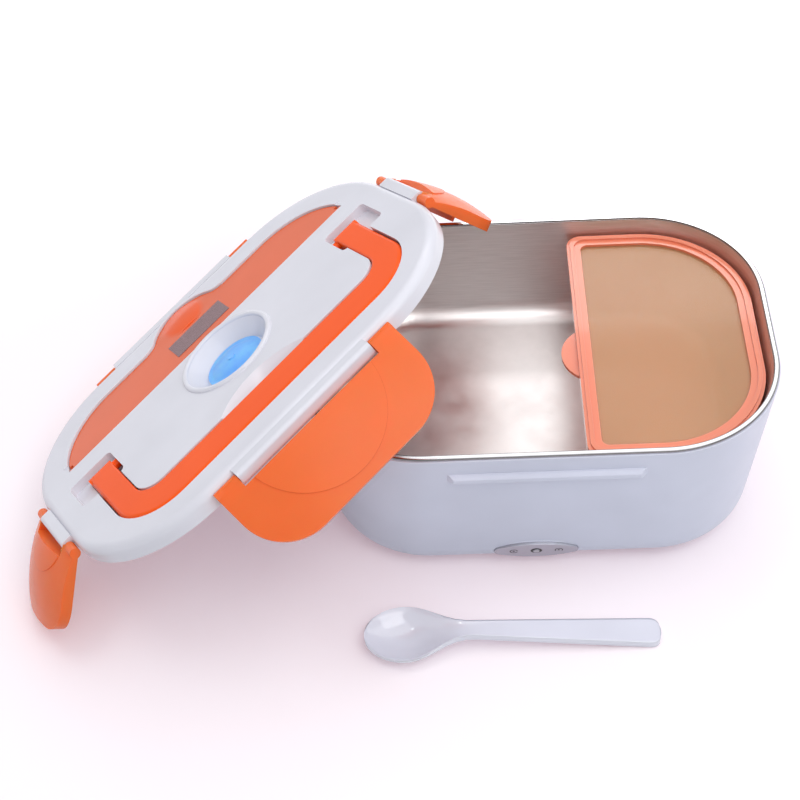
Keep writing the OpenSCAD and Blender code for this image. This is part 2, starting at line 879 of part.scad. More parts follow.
module lid_shell() {
    color([0.93, 0.93, 0.96]) place_lid() difference() {
        union() {
            around() difference() {
                cap_section(lid_r, -lid_h, 0, lid_edge_r);
                cap_section(lid_r - lid_t, -lid_h - 1, -lid_t, lid_edge_r - lid_t);
            }
            middle(-lid_t, 0);
            // floors and walls of the recesses
            translate([0, 0, tub_z]) linear_extrude(-tub_z - 1) bay_plan(-lid_t);
            translate([0, 0, tub_z]) linear_extrude(-tub_z - 1) handle_plan(groove_gap + lid_t);
            translate([0, dish_v, tub_z]) cylinder(r = dish_top_r + lid_t, h = -tub_z - 1);
            translate([-scoop_half - 2, grip_in - 1, tub_z]) cube([2 * scoop_half + 4, 16, -tub_z - 1]);
            for (s = [0, 1]) {
                mirror([s, 0, 0]) translate([leg_in - pivot_slot - boss_w, pocket_v0 - lid_t, tub_z]) cube([
                    pocket_out + lid_t - leg_in + pivot_slot + boss_w,
                    pocket_v1 - pocket_v0 + 2 * lid_t,
                    -tub_z - 1
                ]);
            }
            // soft ring round the dish
            translate([0, dish_v, 0]) rotate_extrude() translate([dish_r - ring_r, 0]) circle(ring_r);
            bay_bead();
            sides() {
                hinge_block(block_w, lid_w2);
                hinge_block(end_block_w, lid_l2);
            }
        }
        // spoon bay
        translate([0, 0, bay_z]) linear_extrude(lid_h) difference() {
            bay_plan(bay_lip);
            translate([0, dish_v]) circle(cover_notch_r + bay_lip);
        }
        translate([0, 0, cover_w - cover_sheet - 0.3]) linear_extrude(6) bay_plan(0);
        translate([0, 0, cover_w - cover_sheet - 0.3]) linear_extrude(6) bump_plan(cover_side);
        translate([0, cover_axis_v, cover_axis_w])
            tube_x(cover_pin_r + cover_fit, -cover_edge - cover_pin_l - 0.6, cover_edge + cover_pin_l + 0.6);
        // handle groove, its pivots and pockets
        translate([0, 0, groove_z]) linear_extrude(lid_h) handle_plan(groove_gap);
        for (s = [0, 1]) {
            mirror([s, 0, 0]) {
                translate([leg_in - pivot_slot, -2, groove_z]) cube([pivot_slot + 1, pivot_v + 6.3, 12]);
                translate([leg_in - 1, pivot_v - 1, groove_z]) cube([leg_w + 1 + groove_gap, 5.3, 12]);
                translate([0, 0, pocket_z]) linear_extrude(10) pocket_plan();
                translate([0, pivot_v, pivot_w])
                    tube_x(pivot_r + pivot_fit, leg_in - pivot_reach - 0.4, leg_in + 1);
            }
        }
        intersection() {
            translate([0, -scoop_v, sqrt(scoop_ball * scoop_ball - scoop_r * scoop_r)]) sphere(scoop_ball);
            translate([-scoop_ball, grip_in - 1, -scoop_ball]) cube(2 * scoop_ball);
        }
        // dish
        translate([0, dish_v, dish_z]) cylinder(r1 = dish_floor_r, r2 = dish_top_r, h = -dish_z);
        translate([0, dish_v, -eps]) cylinder(r = dish_top_r, h = 4);
        translate([0, dish_v, stem_cut]) cylinder(r = stem_hole, h = -stem_cut);
        sides() {
            pin_bores(block_w, lid_w2);
            pin_bores(end_block_w, lid_l2);
        }
    }
}

module lid_inner_plate() {
    color([0.9, 0.9, 0.93]) place_lid() difference() {
        union() {
            around() polygon([
                [0, plug_z], [plug_r, plug_z], [plug_r, seal_top], [seal_r, seal_top],
                [seal_r, seal_top + brim_t], [plug_r - plug_wall, seal_top + brim_t],
                [plug_r - plug_wall, tub_z], [0, tub_z]
            ]);
            middle(plug_z, tub_z);
        }
        translate([0, dish_v, stem_cut]) cylinder(r = stem_hole, h = -stem_cut);
    }
}

module lid_seal() {
    color([0.95, 0.95, 0.95]) place_lid() around() {
        translate([plug_r + 0.1, seal_bottom + 1])
            square([seal_r - plug_r - 0.1, seal_top - seal_bottom - 1]);
        translate([plug_r + 0.1, seal_bottom]) square([1, 1.2]);
        translate([seal_r - 1, seal_bottom]) square([1, 1.2]);
    }
}

module spoon_cover() {
    color([0.95, 0.5, 0.38]) place_lid() difference() {
        union() {
            translate([0, 0, cover_w - cover_sheet]) linear_extrude(cover_sheet) difference() {
                union() {
                    intersection() {
                        plan(bay_r - cover_side);
                        translate([-lid_l2, cover_axis_v]) square([2 * lid_l2, lid_w2]);
                    }
                    bump_plan(0);
                }
                for (s = [0, 1]) {
                    mirror([s, 0]) translate([cover_edge, 0]) square([lid_l2, cover_axis_v + cover_trim]);
                }
            }
            // domed finger bump
            intersection() {
                translate([0, 0, cover_w - 0.5]) linear_extrude(bump_up + 0.5) bump_plan(-0.6);
                translate([0, bump_v + bump_r / 2, cover_w + bump_up - bump_ball]) sphere(bump_ball);
            }
            translate([0, cover_axis_v, cover_axis_w]) {
                tube_x(cover_sheet / 2, -cover_edge, cover_edge);
                tube_x(cover_pin_r, -cover_edge - cover_pin_l, cover_edge + cover_pin_l);
            }
        }
        // notch beside the dish
        translate([0, dish_v, cover_w - 2 * cover_sheet]) cylinder(r = cover_notch_r, h = 3 * cover_sheet);
    }
}

module cover_label() {
    color([0.6, 0.58, 0.6]) place_lid()
        translate([label_at[0] - label_l / 2, label_at[1] - label_w / 2, cover_w])
            cube([label_l, label_w, label_t]);
}

module vent_plug() {
    cap = dish_z + vent_t;
    color([0.3, 0.6, 1]) place_lid() translate([0, dish_v, 0]) {
        translate([0, 0, dish_z]) cylinder(r = vent_r, h = vent_t);
        intersection() {
            translate([0, 0, cap + vent_dome - vent_ball]) sphere(vent_ball);
            translate([0, 0, cap - eps]) cylinder(r = vent_r, h = vent_dome + 1);
        }
        translate([0, 0, cap + vent_dome - 1]) cylinder(r = vent_knob_r, h = 1.8);
        translate([0, 0, plug_z - 0.2]) cylinder(r = stem_r, h = dish_z - plug_z + 0.2 + eps);
    }
}

module carry_handle() {
    color([1, 0.44, 0.26]) place_lid() {
        difference() {
            u_slab(2 * leg_out, -grip_out, grip_out_r, pivot_v, handle_z, handle_top, handle_edge_r);
            u_cutter(
                2 * leg_in, -grip_in, grip_in_r, pivot_v + 1, handle_z - 1, handle_top, handle_edge_r / 2
            );
        }
        for (s = [0, 1]) {
            mirror([s, 0, 0]) translate([0, pivot_v, pivot_w]) {
                tube_x(handle_t / 2, leg_in, leg_out);
                tube_x(pivot_r, leg_in - pivot_reach, leg_in + 1);
            }
        }
    }
}

// plan of a latch seen from outside, hinge up
module latch_plan(w, l, rc) {
    intersection() {
        translate([-w / 2, -l]) square([w, l + cheek_top]);
        union() {
            translate([-w / 2, rc - l]) square([w, l]);
            translate([rc - w / 2, -l]) square([w - 2 * rc, rc + 1]);
            for (s = [-1, 1]) {
                translate([s * (w / 2 - rc), rc - l]) circle(rc);
            }
        }
    }
}

// latch drawn hanging from its hinge axis, outside towards -Y, with a bulging face and walls at its edges
module latch(w, block, l, rc, ball, peak) {
    inner = block / 2 + cheek_gap;
    wall = hinge_out - latch_in;
    far = 3 * latch_l;
    lean = far * tan(latch_lean);
    difference() {
        union() {
            rotate([90, 0, 0]) difference() {
                intersection() {
                    translate([0, 0, -peak]) linear_extrude(3 * peak) latch_plan(w, l, rc);
                    union() {
                        translate([0, -l / 2, peak - ball]) sphere(ball);
                        intersection() {
                            translate([0, -l / 2, peak + oval_rise - ball]) sphere(ball);
                            translate([0, 0, -peak]) cylinder(r = oval_r * w / latch_w, h = 3 * peak);
                        }
                    }
                }
                // hollow behind the face
                intersection() {
                    translate([0, 0, -2 * peak]) linear_extrude(4 * peak) intersection() {
                        latch_plan(w - 2 * latch_rim_t, l - latch_rim_t, rc - latch_rim_t);
                        translate([-w, -l]) square([2 * w, l - under_block - latch_rim_t]);
                    }
                    translate([0, -l / 2, peak - ball]) sphere(ball - latch_t);
                }
                // inner edge of the walls, leaning in with the wall of the base
                rotate([90, 0, 90]) translate([0, 0, -w]) linear_extrude(2 * w)
                    polygon([
                        [far, latch_foot - far], [far, latch_foot + lean],
                        [-far, latch_foot - lean], [-far, latch_foot - far]
                    ]);
            }
            for (s = [0, 1]) {
                mirror([s, 0, 0]) tube_x(knuckle_r, inner, w / 2);
            }
            // hook that snaps under the ledge, and stiffening ribs
            translate([-block / 2 + 2, -wall - latch_t / 2, -hook_s - hook_t])
                cube([block - 4, latch_t / 2 + hook_in, hook_t]);
            for (x = [-block / 2 + 4, -rib_t / 2, block / 2 - 4 - rib_t]) {
                translate([x, -wall - latch_t / 2, -l + 7])
                    cube([rib_t, latch_t / 2 + rib_in, l - hook_s - 7]);
            }
        }
        translate([-inner, -far, -under_block]) cube([2 * inner, 2 * far, far]);
    }
    for (s = [0, 1]) {
        mirror([s, 0, 0]) tube_x(latch_pin_r, block / 2 - latch_pin_l, inner + 1);
    }
}

module at_latch(turn, off, open) {
    place_lid() rotate([0, 0, turn]) translate([0, -off - hinge_out, hinge_w])
        rotate([-open, 0, 0]) children();
}

module latch_front() {
    color([1, 0.44, 0.26]) at_latch(0, lid_w2, open_front)
        latch(latch_w, block_w, latch_l, latch_corner, latch_ball, latch_peak);
}

module latch_back() {
    color([1, 0.44, 0.26]) at_latch(180, lid_w2, open_back)
        latch(latch_w, block_w, latch_l, latch_corner, latch_ball, latch_peak);
}

module latch_left() {
    color([1, 0.44, 0.26]) at_latch(-90, lid_l2, open_left)
        latch(end_latch_w, end_block_w, end_latch_l, end_latch_corner, end_latch_ball, end_latch_peak);
}

module latch_right() {
    color([1, 0.44, 0.26]) at_latch(90, lid_l2, open_right)
        latch(end_latch_w, end_block_w, end_latch_l, end_latch_corner, end_latch_ball, end_latch_peak);
}

// ---------- inner container

module container_cup() {
    color([0.98, 0.55, 0.45]) {
        difference() {
            intersection() {
                union() {
                    around() tub_section(cup_r, cup_top, cup_z, cup_foot_r, cup_a);
                    middle(cup_z, cup_top);
                }
                translate([0, 0, cup_z]) linear_extrude(cup_h) cup_plan(cup_r + 1, cup_x, cup_corner);
            }
            intersection() {
                union() {
                    around()
                        tub_section(cup_r - cup_t, cup_top + eps, cup_z + cup_t, cup_foot_r - cup_t, cup_a);
                    middle(cup_z + cup_t, cup_top + eps);
                }
                translate([0, 0, cup_z]) linear_extrude(cup_h + 1)
                    cup_plan(cup_r + 1, cup_x + cup_t, cup_corner - cup_t);
            }
        }
        translate([0, 0, cup_top - cup_flange_t]) linear_extrude(cup_flange_t) difference() {
            cup_plan(cup_r + cup_flange, cup_x - cup_flange, cup_corner + cup_flange);
            cup_plan(cup_r - cup_t / 2, cup_x + cup_t / 2, cup_corner - cup_t / 2);
        }
    }
}

module container_lid_frame() {
    fr = frame_r + frame_skirt_t;
    fx = frame_x - frame_skirt_t;
    fc = cup_corner + 2;
    color([0.98, 0.5, 0.42]) difference() {
        union() {
            translate([0, 0, cup_top]) linear_extrude(frame_t) difference() {
                cup_plan(fr, fx, fc);
                cup_plan(fr - frame_w, fx + frame_w, fc - 4);
            }
            translate([0, 0, cup_top + frame_t - eps]) linear_extrude(ridge_h) difference() {
                cup_plan(fr - ridge_in, fx + ridge_in, fc - 1);
                cup_plan(fr - ridge_in - ridge_w, fx + ridge_in + ridge_w, fc - 2);
            }
            translate([0, 0, cup_top - frame_skirt]) linear_extrude(frame_skirt + eps) difference() {
                cup_plan(fr, fx, fc);
                cup_plan(frame_r, frame_x, fc - frame_skirt_t);
            }
            translate([0, 0, cup_top - frame_skirt]) linear_extrude(tab_t) difference() {
                translate([fx + tab_in, tab_y]) circle(tab_r);
                translate([fx + 0.5, tab_y - tab_r - 1]) square(2 * tab_r + 2);
            }
        }
        translate([0, 0, cup_top - 1]) linear_extrude(panel_t + 1)
            cup_plan(fr - frame_w + panel_grip, fx + frame_w - panel_grip, fc - 3);
    }
}

module container_lid_panel() {
    fr = frame_r + frame_skirt_t;
    fx = frame_x - frame_skirt_t;
    color([0.9, 0.88, 0.8]) translate([0, 0, cup_top]) linear_extrude(panel_t)
        cup_plan(fr - frame_w + panel_grip - 0.1, fx + frame_w - panel_grip + 0.1, cup_corner - 1);
}

// ---------- spoon

// share of the way from the widest part of the bowl (1) to the neck (0)
function bowl_share(d) = d < bowl_front ? 1 : d > neck_at ? 0
    : pow(0.5 + 0.5 * cos(180 * (d - bowl_front) / (neck_at - bowl_front)), 1.15);

// share of the way along the handle
function handle_share(d) = max(0, (d - neck_at) / (spoon_l - neck_at));

// round front of the bowl and round end of the handle
function front_round(d) = d < bowl_front ? 1 - pow((bowl_front - d) / bowl_front, 2) : 1;
function back_round(d) =
    d > spoon_l - end_round ? pow(1 - pow((d - spoon_l + end_round) / end_round, 2.5), 0.4) : 1;

// half width, height of the rim, depth of the bowl and thickness of the rim at a distance from the tip
function spoon_half(d) = sqrt(front_round(d)) * back_round(d)
    * ((neck_w + (bowl_w - neck_w) * bowl_share(d) + (handle_end_w - neck_w) * handle_share(d)) / 2);
function spoon_rim(d) =
    rim_h + (neck_h - rim_h) * (1 - bowl_share(d)) - (neck_h - handle_end_t) * handle_share(d);
function spoon_dish(d) =
    pow(front_round(d), 0.6) * (handle_dish + (rim_h - bowl_t - handle_dish) * pow(bowl_share(d), 0.8));
function spoon_rim_t(d) = bowl_t + (handle_end_t - bowl_t) * (1 - bowl_share(d));

// ring of points round one section, over the top and back underneath
function spoon_ring(d) = let(
    w = spoon_half(d), z = spoon_rim(d), dish = spoon_dish(d), rim_t = spoon_rim_t(d),
    under = max(0, z - rim_t - max(0, z - dish - bowl_t * bowl_share(d) - rim_t * (1 - bowl_share(d))))
) concat(
    [for (i = [0 : spoon_across]) let(s = 2 * i / spoon_across - 1) [d, s * w, z - dish * (1 - s * s)]],
    [
        for (i = [0 : spoon_across]) let (s = 1 - 2 * i / spoon_across)
            [d, s * w, z - rim_t - under * (1 - s * s)]
    ]
);

module spoon() {
    n = 2 * (spoon_across + 1);
    near = 0.01 * bowl_front;
    far = spoon_l - 0.005 * end_round;
    rings = [
        for (i = [0 : spoon_steps])
            let(t = i / spoon_steps) spoon_ring(near + (far - near) * (t - 0.12 * sin(360 * t)))
    ];
    last = spoon_steps * n;
    color([0.95, 0.95, 0.97]) translate(spoon_at) rotate([0, 0, spoon_turn]) translate([-bowl_l / 2, 0, 0])
        polyhedron(
            [for (ring = rings, point = ring) point],
            concat(
                [[for (i = [n - 1 : -1 : 0]) i]],
                [[for (i = [0 : n - 1]) last + i]],
                [
                    for (k = [0 : spoon_steps - 1], i = [0 : n - 1], half = [0, 1])
                        let(a = k * n + i, b = k * n + (i + 1) % n)
                        half == 0 ? [a, b, a + n] : [b, b + n, a + n]
                ]
            )
        );
}

base_shell();
bottom_cover();
bottom_screws();
rubber_feet();
steel_liner();
heat_spreader();
heating_element();
heater_strap();
thermostat();
thermal_fuse();
heater_wires();
lamp_plate();
indicator_lamp();
power_inlet();
inlet_pins();
lid_shell();
lid_inner_plate();
lid_seal();
spoon_cover();
cover_label();
vent_plug();
carry_handle();
latch_front();
latch_back();
latch_left();
latch_right();
container_cup();
container_lid_frame();
container_lid_panel();
spoon();
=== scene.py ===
"""Looks of the electric lunch box: finishes, softened edges, printed marks, camera and light.

The shapes are the CAD nodes. The one piece made here is the print on the lamp plate.
Colours are linear RGB. Sizes are in metres, or in mm where a name or comment says so.
"""
import math

import bmesh
import bpy
from mathutils import Matrix, Vector


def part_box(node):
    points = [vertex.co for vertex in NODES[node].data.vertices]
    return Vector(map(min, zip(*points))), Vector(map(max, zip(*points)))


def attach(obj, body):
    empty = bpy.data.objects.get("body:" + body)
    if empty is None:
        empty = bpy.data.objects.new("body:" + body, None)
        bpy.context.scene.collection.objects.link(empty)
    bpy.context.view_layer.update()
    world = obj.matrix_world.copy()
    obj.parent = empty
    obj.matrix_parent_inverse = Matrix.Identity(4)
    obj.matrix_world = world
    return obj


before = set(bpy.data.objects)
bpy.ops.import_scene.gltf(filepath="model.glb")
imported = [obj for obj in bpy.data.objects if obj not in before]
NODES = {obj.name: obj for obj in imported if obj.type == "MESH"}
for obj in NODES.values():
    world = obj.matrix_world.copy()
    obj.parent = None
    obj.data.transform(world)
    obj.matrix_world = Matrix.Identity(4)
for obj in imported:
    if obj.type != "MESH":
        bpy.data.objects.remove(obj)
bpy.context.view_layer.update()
MM = 0.001


# ---------- measured from the solids

# A face looks toward a direction when its normal goes this far along it.
FACING = 0.5
PROUD = 0.3 * MM


def flat_face(name, toward):
    """Centre and outward direction of a node's largest flat face that looks toward a direction."""
    groups = {}
    for face in NODES[name].data.polygons:
        key = tuple(round(n, 2) for n in face.normal)
        area, centre = groups.get(key, (0.0, Vector()))
        groups[key] = (area + face.area, centre + face.center * face.area)
    facing = [key for key in groups if Vector(key).dot(Vector(toward)) > FACING]
    key = max(facing, key=lambda k: groups[k][0])
    area, centre = groups[key]
    return centre / area, Vector(key).normalized()


def bump_on(name, toward):
    """Centre and radius of what stands proud of that flat face."""
    centre, out = flat_face(name, toward)
    vertices = [v.co for v in NODES[name].data.vertices]
    proud = [p for p in vertices if (p - centre).dot(out) > PROUD]
    middle = sum(proud, Vector()) / len(proud)
    return middle, max((p - middle).length for p in proud)


# ---------- shader nodes

def add_node(tree, kind, inputs=(), **settings):
    """Adds a shader node. Its inputs are links or constants, by socket name or number."""
    made = tree.nodes.new(kind)
    for key, value in settings.items():
        setattr(made, key, value)
    for key, value in dict(inputs).items():
        if isinstance(value, bpy.types.NodeSocket):
            tree.links.new(value, made.inputs[key])
        else:
            made.inputs[key].default_value = value
    return made


class Material:
    """A node material with one Principled shader, built step by step."""

    EDGE_SAMPLES = 6
    # Cosines of the turn between the rounded and the true normal, at a full edge and at none.
    EDGE_FULL = 0.72
    EDGE_NONE = 0.99

    def __init__(self, name, **inputs):
        self.material = bpy.data.materials.new(name)
        self.material.use_nodes = True
        self.tree = self.material.node_tree
        self.tree.nodes.clear()
        self.shader = self.node("ShaderNodeBsdfPrincipled")
        self.node("ShaderNodeOutputMaterial", {"Surface": self.shader.outputs[0]})
        for key, value in inputs.items():
            self.shader.inputs[key.replace("_", " ")].default_value = value
        self.place = self.node("ShaderNodeTexCoord").outputs["Object"]

    def node(self, kind, inputs=(), **settings):
        return add_node(self.tree, kind, inputs, **settings)

    def vector(self, operation, *values, out="Vector"):
        inputs = dict(enumerate(values))
        return self.node("ShaderNodeVectorMath", inputs, operation=operation).outputs[out]

    def value(self, operation, *values):
        inputs = dict(enumerate(values))
        return self.node("ShaderNodeMath", inputs, operation=operation).outputs[0]

    def noise(self, size, detail=3.0, stretch=None):
        """Noise from 0 to 1 whose features are size mm across."""
        place = self.place
        if stretch:
            inputs = {"Vector": place, "Scale": stretch}
            place = self.node("ShaderNodeMapping", inputs).outputs[0]
        inputs = {"Vector": place, "Scale": 1 / (size * MM), "Detail": detail}
        return self.node("ShaderNodeTexNoise", inputs).outputs["Fac"]

    def threads(self, scale, distortion):
        """Slanting threads from 0 to 1."""
        inputs = {"Vector": self.place, "Scale": scale, "Distortion": distortion}
        wave = self.node("ShaderNodeTexWave", inputs, bands_direction="DIAGONAL")
        return wave.outputs["Fac"]

    def blend(self, factor, low, high, start=0.3, end=0.7):
        """A colour from low to high as factor goes from start to end."""
        ramp = self.node("ShaderNodeValToRGB", {"Fac": factor})
        for stop, at, colour in zip(ramp.color_ramp.elements, (start, end), (low, high)):
            stop.position = at
            stop.color = (*colour, 1)
        return ramp.outputs["Color"]

    def span(self, factor, low, high, start=0.3, end=0.7):
        """A number from low to high as factor goes from start to end."""
        inputs = {
            "Value": factor, "From Min": start, "From Max": end, "To Min": low, "To Max": high,
        }
        return self.node("ShaderNodeMapRange", inputs).outputs["Result"]

    def tint(self, factor, colour, toward):
        """Colour mixed toward another by factor."""
        mix = self.node("ShaderNodeMix", {"Factor": factor}, data_type="RGBA")
        for socket, value in ((mix.inputs[6], colour), (mix.inputs[7], toward)):
            if isinstance(value, bpy.types.NodeSocket):
                self.tree.links.new(value, socket)
            else:
                socket.default_value = (*value, 1)
        return mix.outputs[2]

    def edge(self, radius):
        """1 at the edges of the shape, 0 away from them, over radius mm; the mask for painted
        highlights and painted shade along edges.
        """
        inputs = {"Radius": radius * MM}
        soft = self.node("ShaderNodeBevel", inputs, samples=self.EDGE_SAMPLES).outputs["Normal"]
        hard = self.node("ShaderNodeNewGeometry").outputs["Normal"]
        turn = self.vector("DOT_PRODUCT", soft, hard, out="Value")
        return self.span(turn, 1.0, 0.0, self.EDGE_FULL, self.EDGE_NONE)

    def drive(self, socket, value):
        self.tree.links.new(value, self.shader.inputs[socket])

    def bump(self, *layers):
        """Adds bump layers, each (height socket, depth in mm)."""
        normal = None
        for height, depth in layers:
            inputs = {"Height": height, "Distance": depth * MM, "Strength": 1.0}
            if normal:
                inputs["Normal"] = normal
            normal = self.node("ShaderNodeBump", inputs).outputs["Normal"]
        self.drive("Normal", normal)


def shade(colour, amount):
    return tuple(min(1.0, c * amount) for c in colour)


# ---------- finishes

FLOW_MM = 38
GLOSS_MM = 14
GRAIN_MM = 0.9
WAVE_MM = 34
WAVE_DEPTH = 0.03


def mould_surface(m, rough, grain):
    """Uneven gloss between two roughnesses, and a grain of that depth in mm over slow waves."""
    m.drive("Roughness", m.span(m.noise(GLOSS_MM, 4.0), *rough))
    m.bump((m.noise(GRAIN_MM, 2.0), grain), (m.noise(WAVE_MM, 1.0), WAVE_DEPTH))


def moulded(name, colour, rough, grain=0.003, edge=None, edge_shading_mm=0.5, **inputs):
    """Moulded plastic: faint flow marks, uneven gloss, fine grain, and, when given, another colour
    at the edges as painted light, a lighter one a painted highlight and a darker one painted shade.
    """
    m = Material(name, **inputs)
    tone = m.blend(m.noise(FLOW_MM, 2.0), shade(colour, 0.97), shade(colour, 1.03))
    # Painted light along the edges: a lighter colour there paints a highlight, a darker one paints
    # shade.
    if edge:
        tone = m.tint(m.edge(edge_shading_mm), tone, edge)
    m.drive("Base Color", tone)
    mould_surface(m, (rough * 0.88, rough * 1.14), grain)
    return m.material


def clear_cover():
    """Clear orange plastic of the spoon cover, with a brighter, deeper orange over the finger bump
    as painted light, and a paler painted highlight at the edges.
    """
    flow_dark, flow_light = (0.87, 0.16, 0.058), (0.93, 0.17, 0.062)
    bump_painted_light, edge_shading_colour = (1.0, 0.12, 0.012), (1.0, 0.26, 0.13)
    m = Material("cover_salmon", Alpha=0.86, Specular_IOR_Level=0.35)
    centre, radius = bump_on("spoon_cover", (0, -1, 1))
    away = m.vector("DISTANCE", m.place, centre, out="Value")
    # Where the brighter orange is painted over the finger bump as its light.
    bump_light_mask = m.span(away, 1.0, 0.0, radius * 0.85, radius * 1.12)
    tone = m.tint(bump_light_mask, m.blend(m.noise(FLOW_MM, 2.0), flow_dark, flow_light), bump_painted_light)
    # The paler colour at the edges is a painted highlight.
    m.drive("Base Color", m.tint(m.edge(0.5), tone, edge_shading_colour))
    mould_surface(m, (0.14, 0.18), 0.003)
    return m.material


def brushed(name, colour, rough, line=None, depth=0.004):
    """Brushed metal: fine lines along one direction, cloudy gloss and faint handling marks."""
    dark, light, clouded = (shade(colour, amount) for amount in (0.93, 1.05, 0.8))
    m = Material(name, Metallic=1.0)
    lines = m.noise(0.5, 3.0, line)
    cloud = m.span(m.noise(30, 3.0), 0.0, 0.12)
    m.drive("Base Color", m.tint(cloud, m.blend(lines, dark, light, 0.25, 0.75), clouded))
    m.drive("Roughness", m.span(lines, rough * 0.85, rough * 1.2))
    m.bump((lines, depth), (m.noise(24, 1.0), 0.03))
    return m.material


RIM_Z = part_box("steel_liner")[1][2]
RIM_FADE = (1.4 * MM, 0.4 * MM)
HEM_R = 61.2 * MM
HEM_WIDTH = 2.6 * MM
# Where the thin painted shade lines along the hem's outer and inner border fade, measured from that
# border.
OUTER_SHADE_LINE = (0.8 * MM, 0.3 * MM)
INNER_SHADE_LINE = (0.2 * MM, 0.6 * MM)


def hem_shade_lines(m):
    """1 along the outer and inner border of the liner's hem, 0 between them: the mask of thin
    painted shade lines.
    """
    corner = Vector(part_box("steel_liner")[1]) - Vector((HEM_R, HEM_R, 0))
    past = m.vector("SUBTRACT", m.vector("ABSOLUTE", m.place), corner)
    past = m.vector("MAXIMUM", past, (0, 0, 0))
    past = m.vector("MULTIPLY", past, (1, 1, 0))
    reach = m.vector("LENGTH", past, out="Value")
    hem_in = HEM_R - HEM_WIDTH
    outer = m.span(reach, 0.0, 1.0, *(HEM_R - fade for fade in OUTER_SHADE_LINE))
    inner = m.span(reach, 1.0, 0.0, *(hem_in + fade for fade in INNER_SHADE_LINE))
    return m.value("MAXIMUM", outer, inner)


def drawn_liner():
    """The deep-drawn steel liner: satin walls with fine level lines, and a polished rim whose hem
    has thin dark lines of painted shade along its borders.
    """
    wall_dark, wall_light, wall_cloud = (0.56, 0.53, 0.525), (0.68, 0.65, 0.645), (0.48, 0.45, 0.45)
    hem, hem_painted_shade = (0.62, 0.62, 0.64), (0.12, 0.115, 0.12)
    satin, polished = (0.32, 0.44), 0.14
    m = Material("liner_steel", Metallic=1.0)
    lines = m.noise(0.6, 3.0, (0.04, 0.04, 1))
    cloud = m.span(m.noise(45, 3.0), 0.0, 0.16)
    height = m.node("ShaderNodeSeparateXYZ", {0: m.place}).outputs["Z"]
    rim = m.span(height, 0.0, 1.0, *(RIM_Z - fade for fade in RIM_FADE))
    wall = m.tint(cloud, m.blend(lines, wall_dark, wall_light, 0.25, 0.75), wall_cloud)
    # The hem, with painted shade lines along its borders.
    hem_band_with_shade = m.tint(hem_shade_lines(m), hem, hem_painted_shade)
    m.drive("Base Color", m.tint(rim, wall, hem_band_with_shade))
    m.drive("Roughness", m.span(rim, m.span(lines, *satin), polished, 0.0, 1.0))
    m.bump((lines, 0.003))
    return m.material


def silicone_plug():
    """Translucent blue silicone with painted shade of deeper blue at its edges and a soft dusty
    gloss.
    """
    deep, pale, edge_shading_colour = (0.15, 0.42, 1.0), (0.2, 0.55, 1.0), (0.17, 0.4, 0.97)
    m = Material(
        "vent_blue", Subsurface_Weight=0.25, Subsurface_Scale=0.004, Specular_IOR_Level=0.35
    )
    # The deeper blue at the edges is painted shade.
    m.drive("Base Color", m.tint(m.edge(0.5), m.blend(m.noise(9, 2.0), deep, pale), edge_shading_colour))
    m.drive("Roughness", m.span(m.noise(5, 3.0), 0.32, 0.46))
    m.bump((m.noise(0.6, 2.0), 0.002))
    return m.material


def printed_label():
    """A plain grey sticker with a fine woven print grain."""
    dark, light, thread = (0.15, 0.09, 0.1), (0.33, 0.22, 0.23), (0.33, 0.23, 0.235)
    m = Material("label_grey", Specular_IOR_Level=0.3)
    grain = m.noise(0.7, 2.0)
    weave = m.threads(420.0, 2.0)
    m.drive("Base Color", m.tint(m.span(weave, 0.0, 0.25), m.blend(grain, dark, light), thread))
    m.drive("Roughness", m.span(grain, 0.42, 0.6))
    m.bump((grain, 0.01), (weave, 0.01))
    return m.material


def wire_sleeve(colour):
    """A braided sleeve over the heater wires."""
    m = Material("wire_red")
    braid = m.threads(500.0, 1.0)
    m.drive("Base Color", m.blend(braid, shade(colour, 0.75), shade(colour, 1.2)))
    m.drive("Roughness", m.span(m.noise(2, 2.0), 0.4, 0.6))
    m.bump((braid, 0.04))
    return m.material


def mottled(name, colour, patches, shades, gloss, rough, grain):
    """A matt mass. Patches, gloss and grain are noises, each given as size in mm and detail."""
    m = Material(name)
    m.drive("Base Color", m.blend(m.noise(*patches), *(shade(colour, s) for s in shades)))
    m.drive("Roughness", m.span(m.noise(*gloss), *rough))
    m.bump((m.noise(*grain), 0.02))
    return m.material


def rubber(name, colour):
    return mottled(
        name, colour, patches=(4, 4.0), shades=(0.8, 1.25), gloss=(2, 3.0), rough=(0.6, 0.85),
        grain=(0.5, 3.0),
    )


def ceramic(name, colour):
    return mottled(
        name, colour, patches=(6, 5.0), shades=(0.9, 1.06), gloss=(3, 3.0), rough=(0.5, 0.75),
        grain=(0.7, 4.0),
    )


def mark_ink():
    """Dark print with a slightly uneven coat."""
    m = Material("mark_ink")
    m.drive("Base Color", m.blend(m.noise(0.4), (0.006, 0.006, 0.009), (0.02, 0.02, 0.026)))
    m.drive("Roughness", m.span(m.noise(0.3), 0.35, 0.55))
    m.bump((m.noise(0.2, 2.0), 0.01))
    return m.material


# ---------- each node's edges and finish

# The base's white is the lid's white plastic made darker and bluer: painted shade on the base.
BASE_WHITE_SHADED = (0.66, 0.675, 0.785)
LID_WHITE = (0.71, 0.705, 0.76)
INNER_WHITE = (0.7, 0.7, 0.77)
SPOON_WHITE = (0.76, 0.76, 0.84)
ORANGE = (1.0, 0.105, 0.004)
LATCH_ORANGE = (1.0, 0.165, 0.035)
CORAL = (0.92, 0.24, 0.12)
CUP_CORAL = (1.0, 0.16, 0.06)
CLEAR_BROWN = (0.6, 0.44, 0.22)
STEEL = (0.6, 0.6, 0.62)
ALUMINIUM = (0.72, 0.72, 0.74)
SILVER = (0.45, 0.455, 0.51)
BRASS = (0.72, 0.56, 0.25)

